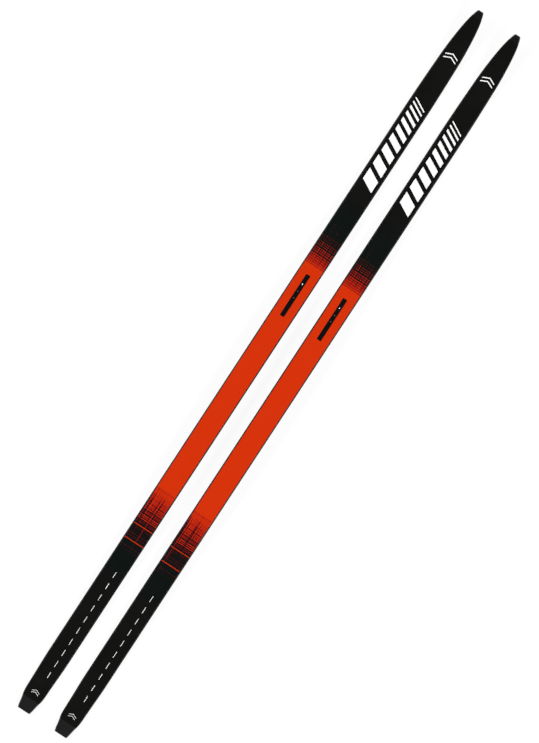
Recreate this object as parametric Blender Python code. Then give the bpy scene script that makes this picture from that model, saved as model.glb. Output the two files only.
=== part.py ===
"""A matched pair of cross-country skis, lying side by side on their running bases.

Frame: +X from tail to tip, +Y to the skier's left, +Z up. The origin is on the ground,
in the middle of the pair. Metres throughout.

Each ski is a sandwich, listed from the snow up: running base with a guide groove,
lower glass laminate, wood core of five stringers with air channels between them and a
sidewall along each side, binding reinforcement plate let into the core, upper glass
laminate, topsheet. Plastic fillers carry the sandwich on past the core into the tip and
the tail, and a moulded guard with a tongue closes each end. A thin label lies on the
topsheet ahead of the binding seat.
"""

import math

import bmesh
import bpy
from mathutils import Vector

MM = 0.001

# ---------------------------------------------------------------- driving dimensions, mm
LENGTH = 1688.0            # overall, as seen from above
WIDTH = 48.5               # parallel-sided over most of the length
SPACING = 89.0             # centre line to centre line of the two skis
EDGE_INSET = 1.6           # how far the topsheet stands in from the running base's edge
END_INSET = 0.9            # the same, at the two ends

BASE_T = 1.6               # running base
GROOVE_W = 8.0             # guide groove in the running base, and its flat bottom
GROOVE_FLOOR_W = 5.0
GROOVE_D = 1.0
LOWER_T = 0.6              # glass laminates
UPPER_T = 0.6
TOP_T = 0.7                # topsheet
TOP_CHAMFER = 0.35
GLUE = 0.2                 # clearance kept between neighbouring pieces
SIDEWALL_IN = 19.2         # half-width of the space for the core
STRINGERS = 5
CHANNEL = 2.4              # air channel between two stringers

SEAT_LOW, SEAT_HIGH = -140.0, 80.0     # flat seat for a binding, along X
SEAT_Z = 47.0
PLATE_LOW, PLATE_HIGH = -130.0, 70.0   # reinforcement plate under that seat
PLATE_W = 35.0
PLATE_T = 1.6
PLATE_POCKET_RAMP = 2.0

LABEL_LOW, LABEL_HIGH = 108.8, 207.5
LABEL_W = 9.7
LABEL_T = 0.3
LABEL_GAP = 0.1

CAMBER = 24.0              # free camber, under the foot
TIP_RISE = 60.0
TAIL_RISE = 9.0
REAR_FLAT = (-720.0, -690.0)           # the two short stretches that touch the ground
FRONT_FLAT = (600.0, 630.0)

CORE_LOW, CORE_HIGH = -745.0, 690.0
TAIL_SEAM, TIP_SEAM = -816.0, 830.0    # where the sandwich meets the moulded guards
TAIL_TONGUE, TIP_TONGUE = -802.0, 816.0

# The ends are rounded by NOSE above and below, which on the sloping tip and tail takes a
# little off the length again. That much is added here, so that LENGTH holds.
NOSE = 1.5
TIP_POWER, TAIL_POWER = 2.2, 2.0
TIP_SLOPE = TIP_RISE * TIP_POWER / (LENGTH / 2 - FRONT_FLAT[1])
TAIL_SLOPE = TAIL_RISE * TAIL_POWER / (LENGTH / 2 + REAR_FLAT[0])
TIP = LENGTH / 2 + NOSE * math.sin(math.atan(TIP_SLOPE))
TAIL = -LENGTH / 2 - NOSE * math.sin(math.atan(TAIL_SLOPE))


def through(points):
    """A smooth monotone curve through (x, value) points, as a function of x."""
    xs = [p[0] for p in points]
    ys = [p[1] for p in points]
    step = [b - a for a, b in zip(xs, xs[1:])]
    rate = [(b - a) / h for a, b, h in zip(ys, ys[1:], step)]
    slope = [rate[0]]
    for i in range(1, len(xs) - 1):
        if rate[i - 1] * rate[i] <= 0:
            slope.append(0.0)
        else:
            a = 2 * step[i] + step[i - 1]
            b = step[i] + 2 * step[i - 1]
            slope.append((a + b) / (a / rate[i - 1] + b / rate[i]))
    slope.append(rate[-1])

    def value(x):
        x = min(max(x, xs[0]), xs[-1])
        i = 0
        while i < len(xs) - 2 and x > xs[i + 1]:
            i += 1
        h = step[i]
        t = (x - xs[i]) / h
        return (
            ys[i] * (2 * t**3 - 3 * t**2 + 1)
            + slope[i] * h * (t**3 - 2 * t**2 + t)
            + ys[i + 1] * (3 * t**2 - 2 * t**3)
            + slope[i + 1] * h * (t**3 - t**2)
        )

    return value


# Outline in plan: the half-width, from the square tail to the narrow blunt tip.
HALF = WIDTH / 2
half_width = through(
    [
        (TAIL, 13.6),
        (TAIL + 2, 14.7),
        (TAIL + 20, 18.3),
        (TAIL + 34, 21.2),
        (TAIL + 42, 22.1),
        (TAIL + 62, 22.6),
        (TAIL + 82, 23.1),
        (TAIL + 104, 23.8),
        (TAIL + 128, HALF),
        (TIP - 236, HALF),
        (TIP - 206, 24.0),
        (TIP - 176, 23.5),
        (TIP - 146, 22.9),
        (TIP - 112, 22.0),
        (TIP - 90, 20.9),
        (TIP - 70, 19.3),
        (TIP - 50, 17.2),
        (TIP - 30, 14.3),
        (TIP - 14, 10.9),
        (TIP - 6, 8.6),
        (TIP - 2.4, 7.2),
        (TIP - 0.8, 6.2),
        (TIP, 4.8),
    ]
)


def camber_line(x):
    """Height of the running surface above the ground."""
    if x < REAR_FLAT[0]:
        return TAIL_RISE * ((REAR_FLAT[0] - x) / (REAR_FLAT[0] - TAIL)) ** TAIL_POWER
    if x <= REAR_FLAT[1] or FRONT_FLAT[0] <= x <= FRONT_FLAT[1]:
        return 0.0
    if x < FRONT_FLAT[0]:
        v = (x - REAR_FLAT[1]) / (FRONT_FLAT[0] - REAR_FLAT[1])
        return CAMBER * 16 * v * v * (1 - v) * (1 - v)
    return TIP_RISE * ((x - FRONT_FLAT[1]) / (TIP - FRONT_FLAT[1])) ** TIP_POWER


def pitch(x):
    """Angle of the running surface, in radians."""
    if REAR_FLAT[0] <= x <= REAR_FLAT[1] or FRONT_FLAT[0] <= x <= FRONT_FLAT[1]:
        return 0.0
    low, high = max(x - 0.5, TAIL), min(x + 0.5, TIP)
    return math.atan2(camber_line(high) - camber_line(low), high - low)


thickness_free = through(
    [
        (TAIL, 5.8),
        (-800, 6.6),
        (-745, 8.3),
        (-690, 10.0),
        (-600, 12.6),
        (-400, 18.6),
        (SEAT_LOW, SEAT_Z - camber_line(SEAT_LOW)),
        (SEAT_HIGH, SEAT_Z - camber_line(SEAT_HIGH)),
        (208, 20.8),
        (400, 14.6),
        (600, 9.6),
        (690, 7.6),
        (760, 6.3),
        (TIP, 5.4),
    ]
)


def thickness(x):
    """Running surface to the top of the topsheet. The binding seat is a true plane."""
    if SEAT_LOW <= x <= SEAT_HIGH:
        return (SEAT_Z - camber_line(x)) / math.cos(pitch(x))
    return thickness_free(x)


def inset(x):
    """How far the top edge stands in from the base edge, less towards the two ends."""
    if x > CORE_HIGH:
        t = (x - CORE_HIGH) / (TIP - CORE_HIGH)
    elif x < CORE_LOW:
        t = (CORE_LOW - x) / (CORE_LOW - TAIL)
    else:
        t = 0.0
    return EDGE_INSET + (END_INSET - EDGE_INSET) * t


def place(x, y, h):
    """Point at distance h from the running surface, square to it, in metres."""
    a = pitch(x)
    return Vector(((x - h * math.sin(a)), y, camber_line(x) + h * math.cos(a))) * MM


STATIONS = [
    TAIL_SEAM + GLUE, -800, -785, -770, -757, -745, -733, -720, -690, -655, -610, -555,
    -495, -435, -375, -315, -255, -197, SEAT_LOW, -85, -30, 25, SEAT_HIGH, LABEL_LOW,
    140, 174, LABEL_HIGH, 255, 310, 370, 430, 490, 545, 600, 630, 650, 670, CORE_HIGH,
    706, 722, 738, 753, 768, 782, 795, 807, 819, TIP_SEAM - GLUE,
]


def between(low, high, extra=()):
    """The common stations strictly inside (low, high), with the two ends and any extra."""
    inside = [x for x in STATIONS if low + 1.0 < x < high - 1.0]
    return sorted({low, high, *inside, *extra})


# ---------------------------------------------------------------------------- materials
def material(name, colour, roughness, metallic=0.0):
    made = bpy.data.materials.new(name)
    made.use_nodes = True
    shader = made.node_tree.nodes["Principled BSDF"]
    shader.inputs["Base Color"].default_value = (*colour, 1.0)
    shader.inputs["Roughness"].default_value = roughness
    shader.inputs["Metallic"].default_value = metallic
    made.diffuse_color = (*colour, 1.0)
    return made


def build():
    for old in list(bpy.data.objects):
        bpy.data.objects.remove(old, do_unlink=True)
    collection = bpy.data.collections.new("cross_country_skis")
    bpy.context.scene.collection.children.link(collection)

    orange = material("topsheet_orange", (0.66, 0.035, 0.004), 0.32)
    black_plastic = material("black_plastic", (0.009, 0.008, 0.007), 0.38)
    label_black = material("label_film", (0.004, 0.005, 0.005), 0.25)
    glass = material("glass_laminate", (0.035, 0.034, 0.03), 0.45)
    graphite = material("running_base", (0.012, 0.012, 0.013), 0.3)
    wood = material("core_wood", (0.52, 0.34, 0.17), 0.7)
    plate = material("reinforcement_plate", (0.16, 0.16, 0.15), 0.5)
    filler = material("filler_plastic", (0.02, 0.02, 0.02), 0.5)

    def finish(obj, skin, parent):
        obj.data.materials.clear()
        obj.data.materials.append(skin)
        obj.parent = parent
        for holder in obj.users_collection:
            holder.objects.unlink(obj)
        collection.objects.link(obj)
        return obj

    def loft(name, stations, section, skin, parent):
        """A closed body through one section at each station, all with as many corners."""
        bm = bmesh.new()
        rings = [
            [bm.verts.new(place(x, y, h)) for y, h in section(x)] for x in stations
        ]
        for back, front in zip(rings, rings[1:]):
            for i in range(len(back)):
                j = (i + 1) % len(back)
                bm.faces.new((back[i], back[j], front[j], front[i]))
        bm.faces.new(rings[0])
        bm.faces.new(rings[-1])
        bmesh.ops.recalc_face_normals(bm, faces=bm.faces)
        mesh = bpy.data.meshes.new(name)
        bm.to_mesh(mesh)
        bm.free()
        mesh.shade_smooth()
        mesh.set_sharp_from_angle(angle=math.radians(30))
        obj = bpy.data.objects.new(name, mesh)
        collection.objects.link(obj)
        return finish(obj, skin, parent)

    def ski(side, offset):
        axis = bpy.data.objects.new(side + "_frame", None)
        axis.location = (0, offset * MM, 0)
        collection.objects.link(axis)
        run = (TAIL_SEAM + GLUE, TIP_SEAM - GLUE)

        # Running base: the groove starts behind the front contact and runs out at the tail.
        def groove_depth(x):
            return GROOVE_D * min(1.0, max(0.0, (FRONT_FLAT[0] - 10 - x) / 60.0))

        def base_section(x):
            w, g = half_width(x), groove_depth(x)
            a, b = GROOVE_W / 2, GROOVE_FLOOR_W / 2
            return [
                (-w, 0), (-a, 0), (-b, g), (b, g), (a, 0), (w, 0),
                (w - 0.1, BASE_T), (-w + 0.1, BASE_T),
            ]

        loft(side + "_running_base", between(*run), base_section, graphite, axis)

        low = BASE_T + GLUE
        loft(
            side + "_lower_laminate",
            between(*run),
            lambda x: [
                (-half_width(x) + 0.15, low), (half_width(x) - 0.15, low),
                (half_width(x) - 0.2, low + LOWER_T), (-half_width(x) + 0.2, low + LOWER_T),
            ],
            glass,
            axis,
        )
        core_floor = low + LOWER_T + GLUE

        def core_roof(x):
            return thickness(x) - TOP_T - GLUE - UPPER_T - GLUE

        # Sidewalls lean in from the base edge to the topsheet edge.
        def sidewall(sign):
            def section(x):
                w, t = half_width(x), inset(x)
                return [
                    (sign * SIDEWALL_IN, core_floor), (sign * (w - 0.25), core_floor),
                    (sign * (w - t + 0.1), core_roof(x)), (sign * SIDEWALL_IN, core_roof(x)),
                ]

            return section

        outward = 1 if offset > 0 else -1
        for word, sign in (("outer", outward), ("inner", -outward)):
            loft(
                f"{side}_sidewall_{word}", between(CORE_LOW, CORE_HIGH), sidewall(sign),
                black_plastic, axis,
            )

        # Core: stringers with air channels, milled down under the binding seat.
        room = 2 * (SIDEWALL_IN - GLUE)
        stringer_w = (room - (STRINGERS - 1) * CHANNEL) / STRINGERS
        pocket = (
            PLATE_LOW - 1 - PLATE_POCKET_RAMP, PLATE_LOW - 1,
            PLATE_HIGH + 1, PLATE_HIGH + 1 + PLATE_POCKET_RAMP,
        )

        def stringer_roof(x):
            down = PLATE_T + GLUE if pocket[1] <= x <= pocket[2] else 0.0
            return core_roof(x) - down

        for number in range(STRINGERS):
            y0 = room / 2 - number * (stringer_w + CHANNEL)
            y1 = y0 - stringer_w
            loft(
                f"{side}_core_stringer_{number + 1}",
                between(CORE_LOW, CORE_HIGH, pocket),
                lambda x, y0=y0, y1=y1: [
                    (y1, core_floor), (y0, core_floor),
                    (y0, stringer_roof(x)), (y1, stringer_roof(x)),
                ],
                wood,
                axis,
            )

        # Reinforcement plate for the binding screws: a flat outline with round corners.
        outline = bpy.data.curves.new(side + "_binding_plate", "CURVE")
        outline.dimensions = "2D"
        outline.fill_mode = "BOTH"
        outline.extrude = PLATE_T / 2 * MM
        corner, points = 6.0, []
        for cx, cy, start in (
            (PLATE_HIGH - corner, PLATE_W / 2 - corner, 0),
            (PLATE_LOW + corner, PLATE_W / 2 - corner, 90),
            (PLATE_LOW + corner, -PLATE_W / 2 + corner, 180),
            (PLATE_HIGH - corner, -PLATE_W / 2 + corner, 270),
        ):
            for k in range(5):
                a = math.radians(start + 22.5 * k)
                points.append((cx + corner * math.cos(a), cy + corner * math.sin(a)))
        line = outline.splines.new("POLY")
        line.points.add(len(points) - 1)
        for point, (x, y) in zip(line.points, points):
            point.co = (x * MM, y * MM, 0, 1)
        line.use_cyclic_u = True
        plate_obj = bpy.data.objects.new(side + "_binding_plate", outline)
        collection.objects.link(plate_obj)
        plate_obj.location = (
            0, 0, (SEAT_Z - TOP_T - GLUE - UPPER_T - GLUE - PLATE_T / 2) * MM
        )
        finish(plate_obj, plate, axis)

        # Fillers carry the core's thickness on into the tip and the tail.
        def filler_section(x):
            w, t = half_width(x), inset(x)
            return [
                (-w + 0.25, core_floor), (w - 0.25, core_floor),
                (w - t + 0.1, core_roof(x)), (-w + t - 0.1, core_roof(x)),
            ]

        loft(
            side + "_tip_filler", between(CORE_HIGH + GLUE, TIP_TONGUE - GLUE),
            filler_section, filler, axis,
        )
        loft(
            side + "_tail_filler", between(TAIL_TONGUE + GLUE, CORE_LOW - GLUE),
            filler_section, filler, axis,
        )

        # Upper laminate and topsheet.
        loft(
            side + "_upper_laminate",
            between(*run),
            lambda x: [
                (-half_width(x) + inset(x) - 0.1, core_roof(x) + GLUE),
                (half_width(x) - inset(x) + 0.1, core_roof(x) + GLUE),
                (half_width(x) - inset(x) + 0.05, core_roof(x) + GLUE + UPPER_T),
                (-half_width(x) + inset(x) - 0.05, core_roof(x) + GLUE + UPPER_T),
            ],
            glass,
            axis,
        )

        def topsheet_section(x):
            w, roof = half_width(x) - inset(x), thickness(x)
            c = TOP_CHAMFER
            return [
                (-w, roof - TOP_T), (w, roof - TOP_T), (w, roof - c),
                (w - c, roof), (-w + c, roof), (-w, roof - c),
            ]

        loft(side + "_topsheet", between(*run), topsheet_section, orange, axis)

        # Label: a thin strip of film lying on the topsheet.
        loft(
            side + "_centre_label",
            between(LABEL_LOW, LABEL_HIGH),
            lambda x: [
                (-LABEL_W / 2, thickness(x) + LABEL_GAP),
                (LABEL_W / 2, thickness(x) + LABEL_GAP),
                (LABEL_W / 2, thickness(x) + LABEL_GAP + LABEL_T),
                (-LABEL_W / 2, thickness(x) + LABEL_GAP + LABEL_T),
            ],
            label_black,
            axis,
        )

        # Guards: a rounded moulded head flush with the ski, and a tongue into the sandwich.
        def guard_section(head_at, end):
            def section(x):
                in_head = x >= head_at if end == "tip" else x <= head_at
                if not in_head:
                    w, lo, hi = half_width(x) - 0.25, core_floor, core_roof(x)
                    w_top, c = half_width(x) - inset(x) + 0.1, 0.25
                else:
                    out = (TIP - x) if end == "tip" else (x - TAIL)
                    nose = max(0.0, 1.0 - out / 3.0) ** 2 * NOSE
                    w, lo, hi = half_width(x), nose, thickness(x) - nose
                    w_top, c = w - inset(x), 0.5
                return [
                    (-w + c, lo), (w - c, lo), (w, lo + c),
                    (w_top, hi - c), (w_top - c, hi), (-w_top + c, hi),
                    (-w_top, hi - c), (-w, lo + c),
                ]

            return section

        loft(
            side + "_tip_guard",
            [TIP_TONGUE, TIP_SEAM - 0.1, TIP_SEAM, 835.5, TIP - 5, TIP - 2.4, TIP - 0.8,
             TIP],
            guard_section(TIP_SEAM, "tip"), black_plastic, axis,
        )
        loft(
            side + "_tail_guard",
            [TAIL, TAIL + 1, TAIL + 2.4, TAIL + 10, TAIL + 20, TAIL_SEAM,
             TAIL_SEAM + 0.1, TAIL_TONGUE],
            guard_section(TAIL_SEAM, "tail"), black_plastic, axis,
        )

    ski("left_ski", SPACING / 2)
    ski("right_ski", -SPACING / 2)


build()
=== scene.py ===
"""Looks for a pair of cross-country skis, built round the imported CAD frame.

Every visible layer of each ski is rebuilt as a fine smooth mesh on the CAD's own curves.
The print on the topsheet is geometry: faces of their own colour, and thin ink slabs.
"""

import math

import bmesh
import bpy
from mathutils import Matrix, Vector


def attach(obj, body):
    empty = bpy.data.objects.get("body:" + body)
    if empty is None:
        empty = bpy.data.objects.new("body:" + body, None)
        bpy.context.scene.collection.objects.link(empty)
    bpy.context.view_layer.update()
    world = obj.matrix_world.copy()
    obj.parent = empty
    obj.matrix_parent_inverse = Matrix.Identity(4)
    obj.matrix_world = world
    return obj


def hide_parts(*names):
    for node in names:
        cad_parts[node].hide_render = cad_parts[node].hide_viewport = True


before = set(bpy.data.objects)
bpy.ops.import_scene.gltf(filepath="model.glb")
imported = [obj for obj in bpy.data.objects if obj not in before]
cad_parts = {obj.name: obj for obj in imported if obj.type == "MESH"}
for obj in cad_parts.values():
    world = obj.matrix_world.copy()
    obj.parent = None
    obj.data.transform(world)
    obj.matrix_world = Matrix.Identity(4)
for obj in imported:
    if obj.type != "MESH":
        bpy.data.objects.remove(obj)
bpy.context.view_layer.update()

# ------------------------------------------------- the CAD's own dimensions and curves, mm
MM = 0.001
LENGTH, WIDTH, SPACING = 1688.0, 48.5, 89.0
EDGE_INSET, END_INSET = 1.6, 0.9
BASE_T, LOWER_T, UPPER_T, TOP_T, GLUE = 1.6, 0.6, 0.6, 0.7, 0.2
GROOVE_W, GROOVE_FLOOR_W, GROOVE_D = 8.0, 5.0, 1.0
SIDEWALL_IN = 19.2
SEAT_LOW, SEAT_HIGH, SEAT_Z = -140.0, 80.0, 47.0
LABEL_LOW, LABEL_HIGH, LABEL_W, LABEL_T, LABEL_GAP = 108.8, 207.5, 9.7, 0.3, 0.1
CAMBER, TIP_RISE, TAIL_RISE = 24.0, 60.0, 9.0
REAR_FLAT, FRONT_FLAT = (-720.0, -690.0), (600.0, 630.0)
CORE_LOW, CORE_HIGH = -745.0, 690.0
TAIL_SEAM, TIP_SEAM = -816.0, 830.0
TAIL_TONGUE, TIP_TONGUE = -802.0, 816.0
NOSE, TIP_POWER, TAIL_POWER = 1.5, 2.2, 2.0
TIP_SLOPE = TIP_RISE * TIP_POWER / (LENGTH / 2 - FRONT_FLAT[1])
TAIL_SLOPE = TAIL_RISE * TAIL_POWER / (LENGTH / 2 + REAR_FLAT[0])
TIP = LENGTH / 2 + NOSE * math.sin(math.atan(TIP_SLOPE))
TAIL = -LENGTH / 2 - NOSE * math.sin(math.atan(TAIL_SLOPE))
HALF = WIDTH / 2


def through(points):
    """A smooth monotone curve through (x, value) points, as a function of x."""
    xs = [p[0] for p in points]
    ys = [p[1] for p in points]
    step = [b - a for a, b in zip(xs, xs[1:])]
    rate = [(b - a) / h for a, b, h in zip(ys, ys[1:], step)]
    slope = [rate[0]]
    for i in range(1, len(xs) - 1):
        if rate[i - 1] * rate[i] <= 0:
            slope.append(0.0)
        else:
            a = 2 * step[i] + step[i - 1]
            b = step[i] + 2 * step[i - 1]
            slope.append((a + b) / (a / rate[i - 1] + b / rate[i]))
    slope.append(rate[-1])

    def value(x):
        x = min(max(x, xs[0]), xs[-1])
        i = 0
        while i < len(xs) - 2 and x > xs[i + 1]:
            i += 1
        h = step[i]
        t = (x - xs[i]) / h
        return (
            ys[i] * (2 * t**3 - 3 * t**2 + 1)
            + slope[i] * h * (t**3 - 2 * t**2 + t)
            + ys[i + 1] * (3 * t**2 - 2 * t**3)
            + slope[i + 1] * h * (t**3 - t**2)
        )

    return value


half_width = through(
    [
        (TAIL, 13.6), (TAIL + 2, 14.7), (TAIL + 20, 18.3), (TAIL + 34, 21.2),
        (TAIL + 42, 22.1), (TAIL + 62, 22.6), (TAIL + 82, 23.1), (TAIL + 104, 23.8),
        (TAIL + 128, HALF), (TIP - 236, HALF), (TIP - 206, 24.0), (TIP - 176, 23.5),
        (TIP - 146, 22.9), (TIP - 112, 22.0), (TIP - 90, 20.9), (TIP - 70, 19.3),
        (TIP - 50, 17.2), (TIP - 30, 14.3), (TIP - 14, 10.9), (TIP - 6, 8.6),
        (TIP - 2.4, 7.2), (TIP - 0.8, 6.2), (TIP, 4.8),
    ]
)


def camber_line(x):
    if x < REAR_FLAT[0]:
        return TAIL_RISE * ((REAR_FLAT[0] - x) / (REAR_FLAT[0] - TAIL)) ** TAIL_POWER
    if x <= REAR_FLAT[1] or FRONT_FLAT[0] <= x <= FRONT_FLAT[1]:
        return 0.0
    if x < FRONT_FLAT[0]:
        v = (x - REAR_FLAT[1]) / (FRONT_FLAT[0] - REAR_FLAT[1])
        return CAMBER * 16 * v * v * (1 - v) * (1 - v)
    return TIP_RISE * ((x - FRONT_FLAT[1]) / (TIP - FRONT_FLAT[1])) ** TIP_POWER


def pitch(x):
    if REAR_FLAT[0] <= x <= REAR_FLAT[1] or FRONT_FLAT[0] <= x <= FRONT_FLAT[1]:
        return 0.0
    low, high = max(x - 0.5, TAIL), min(x + 0.5, TIP)
    return math.atan2(camber_line(high) - camber_line(low), high - low)


thickness_free = through(
    [
        (TAIL, 5.8), (-800, 6.6), (-745, 8.3), (-690, 10.0), (-600, 12.6), (-400, 18.6),
        (SEAT_LOW, SEAT_Z - camber_line(SEAT_LOW)),
        (SEAT_HIGH, SEAT_Z - camber_line(SEAT_HIGH)),
        (208, 20.8), (400, 14.6), (600, 9.6), (690, 7.6), (760, 6.3), (TIP, 5.4),
    ]
)


def thickness(x):
    if SEAT_LOW <= x <= SEAT_HIGH:
        return (SEAT_Z - camber_line(x)) / math.cos(pitch(x))
    return thickness_free(x)


def inset(x):
    if x > CORE_HIGH:
        t = (x - CORE_HIGH) / (TIP - CORE_HIGH)
    elif x < CORE_LOW:
        t = (CORE_LOW - x) / (CORE_LOW - TAIL)
    else:
        t = 0.0
    return EDGE_INSET + (END_INSET - EDGE_INSET) * t


def place(x, y, h, y0):
    a = pitch(x)
    return Vector((x - h * math.sin(a), y + y0, camber_line(x) + h * math.cos(a))) * MM


CORE_FLOOR = BASE_T + GLUE + LOWER_T + GLUE


def core_roof(x):
    return thickness(x) - TOP_T - GLUE - UPPER_T - GLUE


def stations(low, high, extra=()):
    """Fine stations from low to high: close together where the ski bends hard."""
    found, x = [low], low
    while True:
        step = 4.0 if x > 640 or x < -745 else 8.0
        x += step
        if x > high - 1.0:
            break
        found.append(x)
    kept = [x for x in found if all(abs(x - e) > 1.0 for e in extra)]
    return sorted({*kept, high, *[e for e in extra if low < e < high]} | {low})


# ------------------------------------------------------------------------------ materials
def linear(*rgb):
    """sRGB numbers from 0 to 255 as a linear colour."""
    out = []
    for c in rgb:
        c /= 255
        out.append(c / 12.92 if c <= 0.04045 else ((c + 0.055) / 1.055) ** 2.4)
    return out


class Nodes:
    """A material's node tree, with short calls to fill it."""

    def __init__(self, name):
        self.material = bpy.data.materials.new(name)
        self.material.use_nodes = True
        self.tree = self.material.node_tree
        self.shader = self.tree.nodes["Principled BSDF"]
        self.object = self.add("ShaderNodeTexCoord").outputs["Object"]

    def add(self, kind, **settings):
        node = self.tree.nodes.new(kind)
        for key, value in settings.items():
            setattr(node, key, value)
        return node

    def link(self, a, b):
        self.tree.links.new(a, b)

    def scaled(self, x, y, z):
        node = self.add("ShaderNodeMapping")
        node.inputs["Scale"].default_value = (x, y, z)
        self.link(self.object, node.inputs["Vector"])
        return node.outputs["Vector"]

    def noise(self, scale, detail=3.0, roughness=0.5, stretch=None):
        node = self.add("ShaderNodeTexNoise")
        node.inputs["Scale"].default_value = scale
        node.inputs["Detail"].default_value = detail
        node.inputs["Roughness"].default_value = roughness
        self.link(self.scaled(*stretch) if stretch else self.object, node.inputs["Vector"])
        return node.outputs["Fac"]

    def ranged(self, value, low, high, out_low, out_high):
        node = self.add("ShaderNodeMapRange")
        for name, number in (
            ("From Min", low), ("From Max", high), ("To Min", out_low), ("To Max", out_high),
        ):
            node.inputs[name].default_value = number
        self.link(value, node.inputs["Value"])
        return node.outputs["Result"]

    def maths(self, operation, a, b=None):
        node = self.add("ShaderNodeMath", operation=operation)
        for socket, value in zip(node.inputs, (a, b)):
            if value is None:
                continue
            if hasattr(value, "is_linked"):
                self.link(value, socket)
            else:
                socket.default_value = value
        return node.outputs[0]

    def bump(self, height, distance, strength=1.0, normal=None):
        node = self.add("ShaderNodeBump")
        node.inputs["Strength"].default_value = strength
        node.inputs["Distance"].default_value = distance
        self.link(height, node.inputs["Height"])
        if normal is not None:
            self.link(normal, node.inputs["Normal"])
        return node.outputs["Normal"]

    def mixed(self, share, a, b):
        node = self.add("ShaderNodeMix", data_type="RGBA")
        self.link(share, node.inputs[0])
        node.inputs[6].default_value = (*a, 1.0)
        node.inputs[7].default_value = (*b, 1.0)
        return node.outputs[2]

    def set(self, **values):
        for name, value in values.items():
            socket = self.shader.inputs[name.replace("_", " ")]
            if hasattr(value, "is_linked"):
                self.link(value, socket)
            else:
                socket.default_value = value
        return self.material


def film(name, colour, rough=0.16, specular=0.5):
    """Printed topsheet film: gloss with a faint orange peel and fine rubbed-in scratches."""
    n = Nodes(name)
    peel = n.noise(420.0, 2.0)
    scratch = n.noise(1.0, 4.0, 0.65, stretch=(60.0, 2600.0, 60.0))
    rubbed = n.maths(
        "MULTIPLY", n.ranged(scratch, 0.60, 0.72, 0.0, 1.0), n.ranged(n.noise(9.0), 0.45, 0.7, 0.0, 1.0)
    )
    rough_socket = n.maths(
        "ADD", n.ranged(n.noise(24.0, 4.0), 0.3, 0.7, rough - 0.03, rough + 0.03),
        n.maths("MULTIPLY", rubbed, 0.10),
    )
    normal = n.bump(peel, 0.00003, 0.35)
    return n.set(
        Base_Color=(*colour, 1.0), Roughness=rough_socket, Normal=normal,
        Specular_IOR_Level=specular,
    )


def moulded(name, colour, rough=0.34, grain=1500.0, specular=0.3):
    """Injection-moulded plastic with a fine spark-eroded grain."""
    n = Nodes(name)
    fine = n.noise(grain, 3.0, 0.6)
    cloud = n.noise(30.0, 3.0)
    tone = n.mixed(n.ranged(cloud, 0.3, 0.7, 0.0, 1.0), [c * 0.8 for c in colour], [c * 1.25 for c in colour])
    return n.set(
        Base_Color=tone, Roughness=n.ranged(fine, 0.3, 0.7, rough - 0.05, rough + 0.05),
        Normal=n.bump(fine, 0.00003, 0.4), Specular_IOR_Level=specular,
    )


def drawn_plastic(name, colour, rough=0.25, specular=0.4):
    """Milled and polished edge plastic: marks run along the ski."""
    n = Nodes(name)
    marks = n.noise(1.0, 5.0, 0.6, stretch=(18.0, 900.0, 1400.0))
    tone = n.mixed(n.ranged(marks, 0.3, 0.7, 0.0, 1.0), [c * 0.75 for c in colour], [c * 1.3 for c in colour])
    return n.set(
        Base_Color=tone, Roughness=n.ranged(marks, 0.3, 0.7, rough - 0.05, rough + 0.07),
        Normal=n.bump(marks, 0.00002, 0.6), Specular_IOR_Level=specular,
    )


def sintered_base(name):
    """Graphite running base: ground structure along the ski, cloudy with wax."""
    n = Nodes(name)
    grooves = n.noise(1.0, 2.0, 0.5, stretch=(14.0, 2600.0, 14.0))
    wax = n.noise(16.0, 5.0, 0.6, stretch=(0.35, 1.0, 1.0))
    speck = n.noise(1800.0, 2.0, 0.6)
    tone = n.mixed(n.ranged(wax, 0.35, 0.65, 0.0, 1.0), linear(26, 26, 28), linear(38, 38, 41))
    rough = n.maths(
        "ADD", n.ranged(wax, 0.3, 0.7, 0.26, 0.38), n.ranged(speck, 0.4, 0.7, 0.0, 0.06)
    )
    return n.set(
        Base_Color=tone, Roughness=rough,
        Normal=n.bump(grooves, 0.00008, 0.8),
    )


def laminate(name, colour):
    """Resin-rich woven glass, seen as a thin edge."""
    n = Nodes(name)
    weave = n.add("ShaderNodeTexChecker")
    weave.inputs["Scale"].default_value = 900.0
    n.link(n.object, weave.inputs["Vector"])
    tone = n.mixed(weave.outputs["Fac"], [c * 0.7 for c in colour], [c * 1.3 for c in colour])
    return n.set(
        Base_Color=tone, Roughness=n.ranged(n.noise(200.0), 0.3, 0.7, 0.34, 0.46),
        Normal=n.bump(weave.outputs["Fac"], 0.00002, 0.5),
    )


def planed_wood(name):
    n = Nodes(name)
    rings = n.add("ShaderNodeTexWave", wave_type="RINGS", rings_direction="X")
    rings.inputs["Scale"].default_value = 60.0
    rings.inputs["Distortion"].default_value = 6.0
    rings.inputs["Detail"].default_value = 3.0
    n.link(n.scaled(0.12, 1.0, 1.0), rings.inputs["Vector"])
    tone = n.mixed(rings.outputs["Fac"], linear(196, 158, 106), linear(152, 108, 62))
    return n.set(
        Base_Color=tone, Roughness=n.ranged(n.noise(300.0), 0.3, 0.7, 0.6, 0.78),
        Normal=n.bump(rings.outputs["Fac"], 0.0001, 0.4),
    )


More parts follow.
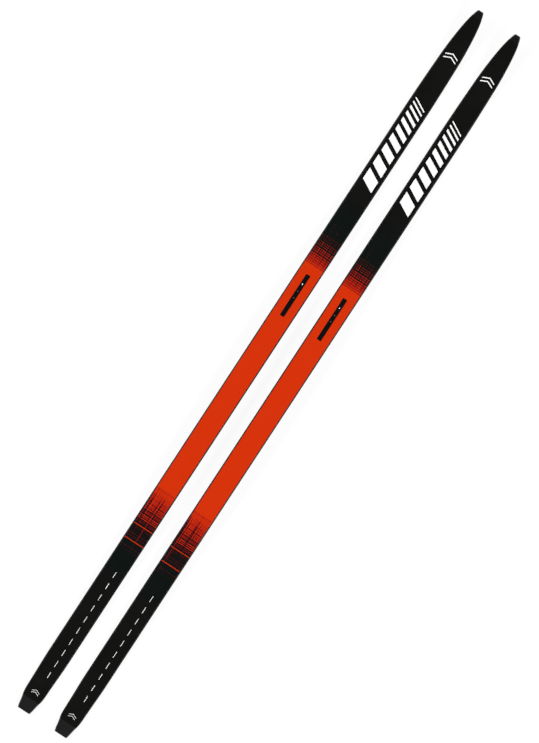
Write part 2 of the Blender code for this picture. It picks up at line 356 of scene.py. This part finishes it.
# The print's colours, darkest to the full orange. The light in this scene is a little
# brighter than the film, so each is set down by the same share.
LIGHT = 0.83
RAMP = [
    (9, 17, 14), (49, 10, 15), (89, 9, 16), (130, 13, 14), (160, 22, 12), (190, 35, 10),
    (222, 51, 2),
]
ink = [
    film(f"topsheet_print_{k}", [c * LIGHT for c in linear(*rgb)], specular=0.4)
    for k, rgb in enumerate(RAMP)
]
black_film = film("topsheet_black", [c * 0.35 for c in linear(24, 23, 20)])
orange_film = ink[-1]
edge_film = film("topsheet_edge", linear(5, 5, 5))
half_black = film("topsheet_green_black", [c * 0.35 for c in linear(16, 22, 19)])
white_ink = film("white_ink", [c * 0.95 for c in linear(255, 255, 255)], 0.24)
pale_ink = film("pale_ink", linear(104, 92, 74), 0.24)
label_film = film("label_film_gloss", linear(6, 7, 7), 0.14)
guard_plastic = moulded("guard_plastic", linear(9, 9, 8))
side_plastic = drawn_plastic("sidewall_plastic", linear(11, 11, 10))
filler_plastic = drawn_plastic("filler_plastic", linear(12, 12, 11), 0.28)
base_plastic = sintered_base("running_base_graphite")
glass = laminate("glass_laminate_edge", linear(16, 16, 14))
wood = planed_wood("core_wood_planed")
plate_sheet = moulded("reinforcement_sheet", linear(112, 112, 108), 0.5, 900.0, 0.5)


# --------------------------------------------------------------------------------- meshes
def new_object(name, bm, materials, body, sharp=32.0):
    mesh = bpy.data.meshes.new(name)
    bmesh.ops.recalc_face_normals(bm, faces=bm.faces)
    bm.to_mesh(mesh)
    bm.free()
    mesh.shade_smooth()
    mesh.set_sharp_from_angle(angle=math.radians(sharp))
    for made in materials:
        mesh.materials.append(made)
    obj = bpy.data.objects.new(name, mesh)
    bpy.context.scene.collection.objects.link(obj)
    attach(obj, body)
    return obj


def rounded(points, radius, steps=3):
    """The outline with each corner rounded, as steps + 1 points to a corner."""
    out, count = [], len(points)
    for i, (x, y) in enumerate(points):
        (ax, ay), (bx, by) = points[i - 1], points[(i + 1) % count]
        r = radius[i] if isinstance(radius, (list, tuple)) else radius
        la, lb = math.hypot(ax - x, ay - y), math.hypot(bx - x, by - y)
        ra, rb = min(r, 0.45 * la), min(r, 0.45 * lb)
        sx, sy = x + (ax - x) * ra / la, y + (ay - y) * ra / la
        ex, ey = x + (bx - x) * rb / lb, y + (by - y) * rb / lb
        for k in range(steps + 1):
            t = k / steps
            out.append(
                (
                    (1 - t) ** 2 * sx + 2 * t * (1 - t) * x + t * t * ex,
                    (1 - t) ** 2 * sy + 2 * t * (1 - t) * y + t * t * ey,
                )
            )
    return out


def supported(points, steps, reach=0.35):
    """A rounded outline with a point near each end of its sides, so that flats shade flat."""
    out = []
    for i, ((ax, ay), (bx, by)) in enumerate(zip(points, points[1:] + points[:1])):
        out.append((ax, ay))
        if i % (steps + 1) == steps:
            t = min(0.3, reach / max(1e-6, math.hypot(bx - ax, by - ay)))
            for u in (t, 1 - t):
                out.append((ax + (bx - ax) * u, ay + (by - ay) * u))
    return out


def loft(xs, section, y0, paint=None):
    """A closed bmesh through one section at each station. paint(x, i) is a face's slot."""
    bm = bmesh.new()
    rings = [[bm.verts.new(place(x, y, h, y0)) for y, h in section(x)] for x in xs]
    for s, (back, front) in enumerate(zip(rings, rings[1:])):
        middle = (xs[s] + xs[s + 1]) / 2
        for i in range(len(back)):
            j = (i + 1) % len(back)
            face = bm.faces.new((back[i], back[j], front[j], front[i]))
            if paint is not None:
                face.material_index = paint(middle, i)
    for ring in (rings[0], rings[-1]):
        face = bm.faces.new(ring)
        if paint is not None:
            face.material_index = paint(None, 0)
    return bm


# ------------------------------------------------------------------------ topsheet's print
# The orange fades to black as a woven plaid: lines across the ski and along it, each of
# them 0.84 PITCH wide, with gaps between them. Places are in PITCH units, from the start
# of a fade outwards, and from 0 at the topsheet's -Y edge to 22 at its +Y edge.
PITCH = 2.03
ACROSS = 22
BORDER = 0.6                     # plain black down each edge, mm
FRONT_FADE, REAR_FADE = 218.7, -313.9
LEVELS = len(RAMP) - 1

# Cross lines: the front repeats in threes, the rear's stand alone with a strength each.
FRONT_CROSS = [7.03 * n + d for n in range(8) for d in (1.8, 4.6, 6.7)]
REAR_CROSS = {
    3.6: 1.0, 5.8: 1.0, 7.7: 1.0, 9.8: 1.0, 11.8: 0.98, 14.2: 0.92, 17.6: 0.94, 20.5: 1.0,
    22.6: 0.94, 24.7: 1.0, 27.7: 0.72, 29.0: 0.72, 31.6: 1.0, 33.6: 0.92, 35.7: 0.94,
    38.0: 0.42, 39.6: 0.46, 42.7: 0.95, 44.8: 0.24, 46.6: 0.22, 49.7: 0.1, 52.5: 0.34,
    55.6: 0.3, 57.4: 0.12, 59.6: 0.95, 63.6: 0.06, 66.6: 0.25, 70.5: 0.14,
}
SOLID = (42.7, 59.6)             # rear cross lines that nothing breaks

# Lines along the ski with a weight each. The skis are cut from the sheet at different places.
ALONG = {
    ("left_ski", "front"): {
        1.5: 1.0, 4.5: 1.0, 6.5: 0.92, 9.4: 1.25, 11.5: 0.98, 13.6: 0.9, 16.3: 1.4, 18.5: 0.94, 20.7: 0.94,
    },
    ("right_ski", "front"): {
        1.5: 1.0, 4.7: 1.05, 6.4: 0.88, 8.6: 0.98, 11.5: 0.95, 13.5: 0.92, 16.4: 1.4, 18.6: 0.94, 20.7: 0.9,
    },
    ("left_ski", "rear"): {
        0.8: 1.0, 2.5: 0.96, 4.5: 0.94, 6.5: 0.98, 9.3: 1.3, 11.9: 0.86, 14.4: 0.86, 17.3: 1.3, 20.7: 1.0,
    },
    ("right_ski", "rear"): {
        0.7: 1.0, 2.5: 1.0, 4.5: 0.94, 6.4: 0.98, 8.6: 1.12, 12.1: 0.86, 14.4: 0.86, 17.1: 1.15, 19.4: 1.2,
    },
}
# How dark the gaps between those lines are, from the -Y edge on: 1 is a plain gap.
GAPS = {
    ("left_ski", "front"): (1.0, 0.6, 1.0, 0.7, 1.0, 1.0, 0.9, 1.2, 1.0, 0.6),
    ("right_ski", "front"): (1.0, 0.7, 1.2, 0.9, 0.8, 1.0, 0.9, 1.2, 1.0, 0.6),
    ("left_ski", "rear"): (0.6, 1.2, 1.1, 1.1, 0.45, 0.65, 1.6, 1.5, 0.4, 0.3),
    ("right_ski", "rear"): (0.6, 1.1, 1.1, 1.1, 0.7, 0.35, 1.6, 1.5, 0.6, 0.15),
}
# Lines along the ski that run on into the black.
RUN_ON = {
    ("left_ski", "rear"): {9.3: 0.72, 20.7: 0.3, 17.3: 0.2},
    ("right_ski", "rear"): {19.4: 0.68, 8.6: 0.34, 17.1: 0.16},
    ("left_ski", "front"): {16.3: 0.3, 9.4: 0.26}, ("right_ski", "front"): {16.4: 0.3, 1.5: 0.18},
}
run_on_fade = through([(0, 1.0), (30, 1.0), (44, 0.75), (56, 0.6), (60, 0.3), (70, 0.14), (74, 0.0)])


def edges(lines, last):
    """Edges of the gaps and lines in turn, starting and ending with a gap."""
    return [0.0, *(c + d for c in lines for d in (-0.42, 0.42)), last]


FRONT_EDGES, REAR_EDGES = edges(FRONT_CROSS, 56.0), edges(REAR_CROSS, 74.0)
ROWS = 19


def row_edges(x, side):
    """Edges of the rows at x: the rear's rows drift into the front's under plain orange."""
    share = min(1.0, max(0.0, (x + 300.0) / 500.0))
    front, rear = (edges(ALONG[side, end], ACROSS) for end in ("front", "rear"))
    return [r + (f - r) * share for f, r in zip(front, rear)]


# What is left of the orange, by column: where two lines cross, on a cross line between
# them, on a line along the ski, and in the hole that they leave.
front_knot = through([(0, 1.0), (16, 1.0), (23, 0.95), (30, 0.72), (37, 0.38), (43, 0.06), (44, 0.0)])
front_cross = through([(0, 1.0), (6, 0.97), (9, 0.9), (16, 0.8), (23, 0.46), (30, 0.2), (37, 0.06), (38, 0.0)])
front_along = through(
    [(0, 1.0), (2, 0.98), (8, 0.8), (11, 0.8), (13, 0.64), (15, 0.54), (20, 0.32), (22, 0.42), (24, 0.04), (29, 0.08), (31, 0.0)]
)
front_hole = through([(0, 1.0), (2, 0.97), (4, 0.9), (8, 0.52), (11, 0.5), (13, 0.3), (15, 0.14), (17, 0.0), (20, 0.0), (22, 0.06), (24, 0.0)])
rear_along = through(
    [
        (0, 1.0), (5, 0.94), (9, 0.9), (11, 0.88), (13, 0.84), (16, 0.9), (19, 0.76), (22, 0.7), (24, 0.6), (26, 0.52),
        (30, 0.28), (33, 0.42), (35, 0.28), (37, 0.16), (39, 0.34), (41, 0.0), (44, 0.06), (46, 0.12), (48, 0.0),
    ]
)
rear_hole = through(
    [
        (0, 0.98), (2, 0.84), (7, 0.7), (9, 0.66), (11, 0.62), (13, 0.52), (16, 0.58), (19, 0.34), (22, 0.32),
        (24, 0.12), (26, 0.08), (30, 0.0), (33, 0.08), (37, 0.04), (39, 0.08), (41, 0.0),
    ]
)


def print_level(x, j, side):
    """Share of orange left on a ski's topsheet at x, in row j; None beyond the fades."""
    if REAR_FADE < x < FRONT_FADE:
        return 1.0
    end = "front" if x > 0 else "rear"
    k = (x - FRONT_FADE if x > 0 else REAR_FADE - x) / PITCH
    columns = FRONT_EDGES if x > 0 else REAR_EDGES
    i = sum(e <= k for e in columns) - 1
    if i >= len(columns) - 1:
        return None
    k = (columns[i] + columns[i + 1]) / 2
    late = min(1.0, max(0.0, (k - 6.0) / 13.0))
    if j % 2:
        place, weight = list(ALONG[side, end].items())[j // 2]
    else:
        place, weight = None, GAPS[side, end][j // 2]
    if end == "front":
        if i % 2:
            first = (i // 2) % 3 == 0
            level = front_knot(k) if j % 2 else front_cross(k)
            level = level if first else level ** 1.8
            weight = weight if j % 2 else weight ** 0.3
        else:
            level = front_along(k) if j % 2 else front_hole(k)
    else:
        if i % 2:
            line = list(REAR_CROSS)[i // 2]
            level = REAR_CROSS[line]
            if line in SOLID:
                return level
            if not j % 2:
                level *= 0.96 if k < 12 else 0.42 + 0.43 * level
                weight **= 0.4
        else:
            level = rear_along(k) if j % 2 else rear_hole(k)
    run_on = RUN_ON[side, end].get(place, 0.0)
    if end == "rear":
        run_on *= run_on_fade(k)
    elif i % 6 != 1:
        run_on *= 0.3 if i % 2 else 0.0
    return max(level * weight ** late, run_on)


def print_slot(x, j, side):
    """Material slot of a ski's topsheet at x, in row j of the ROWS across it."""
    level = print_level(x, j, side)
    if level is not None:
        return min(LEVELS, max(0, round(level * LEVELS)))
    if x > 385 or x < -520:
        return len(ink)
    return len(ink) + 2 if x > 362 or -520 <= x < -505 else 0


def slab(bm, corners, y0, low=0.012, high=0.06, size=5.0):
    """A thin slab of ink on the topsheet over a four-cornered patch, corners in order."""
    (ax, ay), (bx, by), (cx, cy), (dx, dy) = corners
    nu = max(1, math.ceil(max(math.hypot(bx - ax, by - ay), math.hypot(cx - dx, cy - dy)) / size))
    nv = max(1, math.ceil(max(math.hypot(dx - ax, dy - ay), math.hypot(cx - bx, cy - by)) / size))
    grids = []
    for h in (low, high):
        grid = []
        for u in range(nu + 1):
            row = []
            for v in range(nv + 1):
                s, t = u / nu, v / nv
                x = (1 - s) * (1 - t) * ax + s * (1 - t) * bx + s * t * cx + (1 - s) * t * dx
                y = (1 - s) * (1 - t) * ay + s * (1 - t) * by + s * t * cy + (1 - s) * t * dy
                row.append(bm.verts.new(place(x, y, thickness(x) + h, y0)))
            grid.append(row)
        grids.append(grid)
    for grid in grids:
        for u in range(nu):
            for v in range(nv):
                bm.faces.new((grid[u][v], grid[u + 1][v], grid[u + 1][v + 1], grid[u][v + 1]))
    under, over = grids
    rim = (
        [(u, 0) for u in range(nu)] + [(nu, v) for v in range(nv)]
        + [(u, nv) for u in range(nu, 0, -1)] + [(0, v) for v in range(nv, 0, -1)]
    )
    for (u, v), (s, t) in zip(rim, rim[1:] + rim[:1]):
        bm.faces.new((under[u][v], under[s][t], over[s][t], over[u][v]))


def box_slab(bm, x, y, long, wide, y0, turn=0.0):
    """A straight stroke of ink centred on (x, y), turned by so many degrees."""
    c, s = math.cos(math.radians(turn)), math.sin(math.radians(turn))
    corners = [
        (x + c * u * long / 2 - s * v * wide / 2, y + s * u * long / 2 + c * v * wide / 2)
        for u, v in ((-1, -1), (1, -1), (1, 1), (-1, 1))
    ]
    slab(bm, corners, y0)


def chevron(bm, x, half_span, sweep, thick, y0):
    """A thin arrowhead of two strokes, pointing along X by the sign of sweep."""
    for side in (1, -1):
        slab(
            bm,
            [
                (x, 0.0), (x + thick, 0.0),
                (x + thick - sweep, side * half_span), (x - sweep, side * half_span),
            ],
            y0,
        )


# ----------------------------------------------------------------------------- the two skis
def ski(side, y0):
    run = (TAIL_SEAM + GLUE, TIP_SEAM - GLUE)

    # Topsheet: a rounded edge down each side, and a row of cells across the top.
    edge = 0.38

    def topsheet_section(x):
        w, roof = half_width(x) - inset(x), thickness(x)
        arc = [
            (w - edge + edge * math.sin(a), roof - edge + edge * math.cos(a))
            for a in (math.radians(d) for d in (90, 60, 30))
        ]
        inside = w - edge - BORDER
        top = [((2 * e / ACROSS - 1) * inside, roof) for e in reversed(row_edges(x, side))]
        right = [(w - 0.08, roof - TOP_T), (w, roof - TOP_T + 0.08), *arc, (w - edge, roof)]
        left = [(-y, h) for y, h in reversed(right)]
        return [*right, *top, *left]

    first_top = 6

    def topsheet_paint(x, i):
        if x is None or not first_top <= i < first_top + ROWS:
            return len(ink) + 1
        return print_slot(x, ROWS - 1 - (i - first_top), side)

    front = [FRONT_FADE + PITCH * e for e in FRONT_EDGES]
    rear = [REAR_FADE - PITCH * e for e in reversed(REAR_EDGES)]
    coarse = [
        x for x in stations(*run)
        if not (front[0] - 1 < x < front[-1] + 1 or rear[0] - 1 < x < rear[-1] + 1)
    ]
    xs = sorted({*coarse, *front, *rear})
    top = new_object(
        f"{side}_topsheet_fine",
        loft(xs, topsheet_section, y0, topsheet_paint),
        [*ink, black_film, edge_film, half_black],
        side,
        50.0,
    )
    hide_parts(f"{side}_topsheet")

    # Running base, with the guide groove.
    def base_section(x):
        w = half_width(x) - 0.04
        g = GROOVE_D * min(1.0, max(0.0, (FRONT_FLAT[0] - 10 - x) / 60.0))
        a, b = GROOVE_W / 2, GROOVE_FLOOR_W / 2
        return supported(
            rounded(
                [
                    (-w, 0), (-a, 0), (-b, g), (b, g), (a, 0), (w, 0), (w, BASE_T), (-w, BASE_T),
                ],
                [0.22, 0.9, 0.7, 0.7, 0.9, 0.22, 0.08, 0.08],
            ),
            3,
        )

    base = new_object(
        f"{side}_running_base_fine", loft(stations(*run), base_section, y0),
        [base_plastic], side,
    )
    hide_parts(f"{side}_running_base")

    # Laminates.
    low = BASE_T + GLUE
    lower = new_object(
        f"{side}_lower_laminate_fine",
        loft(
            stations(*run),
            lambda x: [
                (-half_width(x) + 0.15, low), (half_width(x) - 0.15, low),
                (half_width(x) - 0.2, low + LOWER_T), (-half_width(x) + 0.2, low + LOWER_T),
            ],
            y0,
        ),
        [glass], side,
    )
    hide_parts(f"{side}_lower_laminate")

    def upper_section(x):
        w, z = half_width(x) - inset(x), core_roof(x) + GLUE
        return [(-w - 0.1, z), (w + 0.1, z), (w + 0.05, z + UPPER_T), (-w - 0.05, z + UPPER_T)]

    upper = new_object(
        f"{side}_upper_laminate_fine", loft(stations(*run), upper_section, y0),
        [glass], side,
    )
    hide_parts(f"{side}_upper_laminate")

    # Sidewalls: an upright face, and a bevel up to the topsheet.
    def flank(x):
        """Outer face from the core's floor to its roof, as (y, h) points."""
        w, t, roof = half_width(x), inset(x), core_roof(x)
        over = w - 0.02
        shelf = w - t + 0.1
        drop = min(0.9 * (over - shelf), 0.6 * (roof - CORE_FLOOR))
        r = min(0.3, 0.3 * drop)
        foot, knee = CORE_FLOOR + 0.3, roof - drop - r
        return [
            (w - 0.25, CORE_FLOOR), (over, foot), (over, foot + 0.25 * (knee - foot)),
            (over, foot + 0.75 * (knee - foot)), (over, knee),
            (over - 0.09 * r, roof - drop - 0.45 * r), (over - 0.35 * r, roof - drop + 0.1 * r),
            (over - 0.8 * r, roof - drop + 0.55 * r), (shelf + 0.12, roof - 0.12),
            (shelf, roof),
        ]

    outward = 1 if y0 > 0 else -1
    for word, sign in (("outer", outward), ("inner", -outward)):
        def wall_section(x, sign=sign):
            face = [(sign * y, h) for y, h in flank(x)]
            return [(sign * SIDEWALL_IN, CORE_FLOOR), *face, (sign * SIDEWALL_IN, core_roof(x))]

        wall = new_object(
            f"{side}_sidewall_{word}_fine",
            loft(stations(CORE_LOW, CORE_HIGH), wall_section, y0), [side_plastic], side,
        )
        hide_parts(f"{side}_sidewall_{word}")

    # Fillers.
    def filler_section(x):
        face = flank(x)
        return [*face, *[(-y, h) for y, h in reversed(face)]]

    for word, a, b in (
        ("tip", CORE_HIGH + GLUE, TIP_TONGUE - GLUE), ("tail", TAIL_TONGUE + GLUE, CORE_LOW - GLUE)
    ):
        filler = new_object(
            f"{side}_{word}_filler_fine", loft(stations(a, b), filler_section, y0),
            [filler_plastic], side,
        )
        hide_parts(f"{side}_{word}_filler")

    # Guards: a tongue in the sandwich, and a head with all its edges rounded.
    def guard(word, end, seam, tongue, towards):
        def section(x):
            if towards * (x - seam) < 0:
                face = flank(x)
                (over, foot), (shelf, roof) = face[1], face[-1]
                knee = face[4][1] + 0.3 * (roof - face[4][1])
                half = [(over, CORE_FLOOR), (over, knee), (shelf, roof)]
                c = [0.25, 0.12, 0.1]
            else:
                out = towards * (end - x)
                q = max(0.0, 1.0 - out / 3.2)
                nose = NOSE * (1 - math.sqrt(max(0.0, 1 - q * q)))
                edge_round = 0.35 * max(0.0, 1 - towards * (x - seam) / 1.2) ** 2
                w, lo, hi, c = half_width(x) - edge_round, nose, thickness(x) - nose - edge_round, 1.1
                w_top = w - inset(x)
                half = [(w, lo), ((w + w_top) / 2, (lo + hi) / 2), (w_top, hi)]
                c = [c, 0.3, c]
            other = [(-y, h) for y, h in reversed(half)]
            return supported(rounded([*half, *other], [*c, *reversed(c)], 5), 5, 0.2)

        span = abs(end - seam)
        head = [seam + towards * span * k / 9 for k in range(9)]
        head += [end - towards * d for d in (2.4, 1.6, 1.0, 0.55, 0.25, 0.06, 0.0)]
        head += [seam + towards * d for d in (0.3, 0.7, 1.2)]
        tongue_xs = [tongue, (tongue + seam) / 2, seam - towards * 0.1]
        xs = sorted({*tongue_xs, *[x for x in head]})
        made = new_object(
            f"{side}_{word}_guard_fine", loft(xs, section, y0), [guard_plastic], side, 40.0
        )
        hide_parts(f"{side}_{word}_guard")

    guard("tip", TIP, TIP_SEAM, TIP_TONGUE, 1)
    guard("tail", TAIL, TAIL_SEAM, TAIL_TONGUE, -1)

    # Label: a strip of film with round corners.
    def label_section(x):
        r = 1.6
        near = min(x - LABEL_LOW, LABEL_HIGH - x)
        cut = 0.0 if near >= r else r - math.sqrt(max(0.0, r * r - (r - near) ** 2))
        w, z = LABEL_W / 2 - cut, thickness(x) + LABEL_GAP
        return supported(
            rounded([(-w, z), (w, z), (w, z + LABEL_T), (-w, z + LABEL_T)], 0.09, 3), 3, 0.3
        )

    ends = (0.0, 0.08, 0.3, 0.7, 1.2, 1.6)
    label_xs = sorted(
        {*[LABEL_LOW + d for d in ends], *[LABEL_HIGH - d for d in ends]}
        | set(x for x in stations(LABEL_LOW, LABEL_HIGH) if LABEL_LOW + 2.6 < x < LABEL_HIGH - 2.6)
    )
    label = new_object(
        f"{side}_centre_label_fine", loft(label_xs, label_section, y0), [label_film], side
    )
    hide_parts(f"{side}_centre_label")

    # Generic marks in white ink. None of them is lettering.
    bm = bmesh.new()
    x, lean = 424.0, 0.55
    for wide, gap in (
        (26, 10.5), (22, 10), (18, 9.5), (15, 9), (12, 8.5), (9.5, 8), (7.5, 7.5), (5.5, 6.5),
        (4, 6), (3, 0),
    ):
        slab(
            bm,
            [
                (x - lean * 15.2, -15.2), (x + wide - lean * 15.2, -15.2),
                (x + wide + lean * 15.2, 15.2), (x + lean * 15.2, 15.2),
            ],
            y0,
        )
        x += wide + gap
    bars = new_object(f"{side}_print_bars", bm, [white_ink], side)

    bm = bmesh.new()
    chevron(bm, 743.0, 14.4, 6.5, 2.4, y0)
    chevron(bm, 735.0, 14.4, 6.5, 2.4, y0)
    tip_marks = new_object(f"{side}_print_tip_chevrons", bm, [white_ink], side)

    bm = bmesh.new()
    chevron(bm, -796.0, 8.4, 4.2, 0.9, y0)
    chevron(bm, -800.6, 8.4, 4.2, 0.9, y0)
    tail_marks = new_object(f"{side}_print_tail_chevrons", bm, [white_ink], side)

    def at(t):
        return (t - 17.375) * 2.0234

    bm = bmesh.new()
    for k in range(10):
        box_slab(bm, -513.0 - 27.0 * k, -4.0, 14.0, 1.1, y0)
    dashes = new_object(f"{side}_print_tail_dashes", bm, [white_ink], side)

    bm = bmesh.new()
    label_h = LABEL_GAP + LABEL_T

    def on_label(corners):
        slab(bm, corners, y0, label_h + 0.012, label_h + 0.05)

    cx = at(109.0)
    on_label([(cx - 2.2, 0.0), (cx, -1.2), (cx + 2.2, 0.0), (cx, 1.2)])
    label_mark = new_object(f"{side}_label_mark", bm, [white_ink], side)
    bm = bmesh.new()
    for t, long in ((100.4, 2.6), (93.0, 2.6)):
        on_label(
            [
                (at(t) - long / 2, -0.7), (at(t) + long / 2, -0.7),
                (at(t) + long / 2, 0.7), (at(t) - long / 2, 0.7),
            ]
        )
    label_dashes = new_object(f"{side}_label_dashes", bm, [pale_ink], side)


ski("left_ski", SPACING / 2)
ski("right_ski", -SPACING / 2)

# The CAD's own inner pieces stay, with a finish of their own.
for name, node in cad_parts.items():
    inner = wood if "stringer" in name else plate_sheet if "binding_plate" in name else None
    if inner is not None:
        node.data.materials.clear()
        node.data.materials.append(inner)

# ------------------------------------------------------------------ floor, light and camera
BOX_POWER = 170.0
FLOOR_GLOW = 0.92
bm = bmesh.new()
bmesh.ops.create_grid(bm, x_segments=8, y_segments=8, size=45.0)
mesh = bpy.data.meshes.new("floor")
bm.to_mesh(mesh)
bm.free()
floor = bpy.data.objects.new("floor", mesh)
floor.location = (0, 0, -0.0002)
bpy.context.scene.collection.objects.link(floor)
# A white light table: its own glow lifts the shadows.
n = Nodes("floor_paper")
n.set(
    Base_Color=(0.08, 0.08, 0.08, 1.0), Roughness=0.9,
    Normal=n.bump(n.noise(160.0, 3.0), 0.0002, 0.2),
    Emission_Color=(1.0, 1.0, 1.0, 1.0), Emission_Strength=FLOOR_GLOW,
)
n.shader.inputs["Specular IOR Level"].default_value = 0.1
# Seen from below it lets the view through, so that the running bases can be looked at.
clear = n.add("ShaderNodeBsdfTransparent")
facing = n.add("ShaderNodeNewGeometry")
mix = n.add("ShaderNodeMixShader")
output = n.tree.nodes["Material Output"]
n.link(facing.outputs["Backfacing"], mix.inputs[0])
n.link(n.shader.outputs[0], mix.inputs[1])
n.link(clear.outputs[0], mix.inputs[2])
n.link(mix.outputs[0], output.inputs["Surface"])
floor.data.materials.append(n.material)

# Two long soft boxes over the skis, one to each side, in a dim surround that is a little
# brighter low down at the sides: from above, the glossy black mirrors only the dim part.
world = bpy.data.worlds.new("studio")
bpy.context.scene.world = world
world.use_nodes = True
tree = world.node_tree
coords = tree.nodes.new("ShaderNodeTexCoord")
split = tree.nodes.new("ShaderNodeSeparateXYZ")
aside = tree.nodes.new("ShaderNodeMath")
aside.operation = "ABSOLUTE"
glow = tree.nodes.new("ShaderNodeMapRange")
glow.interpolation_type = "SMOOTHSTEP"
for socket_name, number in (
    ("From Min", 0.45), ("From Max", 0.95), ("To Min", 0.08), ("To Max", 0.45),
):
    glow.inputs[socket_name].default_value = number
tree.links.new(coords.outputs["Generated"], split.inputs[0])
tree.links.new(split.outputs["Y"], aside.inputs[0])
tree.links.new(aside.outputs[0], glow.inputs["Value"])
tree.links.new(glow.outputs["Result"], tree.nodes["Background"].inputs["Strength"])
tree.nodes["Background"].inputs["Color"].default_value = (1.0, 1.0, 1.0, 1.0)
for side in (1, -1):
    data = bpy.data.lights.new(f"soft_box_{'left' if side > 0 else 'right'}", "AREA")
    data.shape, data.size, data.size_y = "RECTANGLE", 5.5, 1.0
    data.energy = BOX_POWER
    box = bpy.data.objects.new(data.name, data)
    lean = math.radians(31.0)
    box.location = (0.0, side * 5.0 * math.sin(lean), 5.0 * math.cos(lean))
    box.rotation_euler = (-side * lean, 0.0, 0.0)
    box.visible_camera = False
    bpy.context.scene.collection.objects.link(box)

HEIGHT = 20.0
AIM = Vector((0.00236, 0.00374, 0.02))
right, up = Vector((0.5477, -0.8367, 0.0)), Vector((0.8367, 0.5477, 0.0))
camera = bpy.data.objects.new("camera", bpy.data.cameras.new("camera"))
camera.matrix_world = Matrix(
    (
        (right.x, up.x, 0.0, AIM.x),
        (right.y, up.y, 0.0, AIM.y),
        (0.0, 0.0, 1.0, AIM.z + HEIGHT),
        (0.0, 0.0, 0.0, 1.0),
    )
)
camera.data.sensor_width = 36.0
camera.data.lens = 36.0 * HEIGHT / 1.5022
camera.data.clip_start, camera.data.clip_end = 0.1, 200.0
bpy.context.scene.collection.objects.link(camera)
bpy.context.scene.camera = camera
bpy.context.scene.view_settings.view_transform = "Standard"
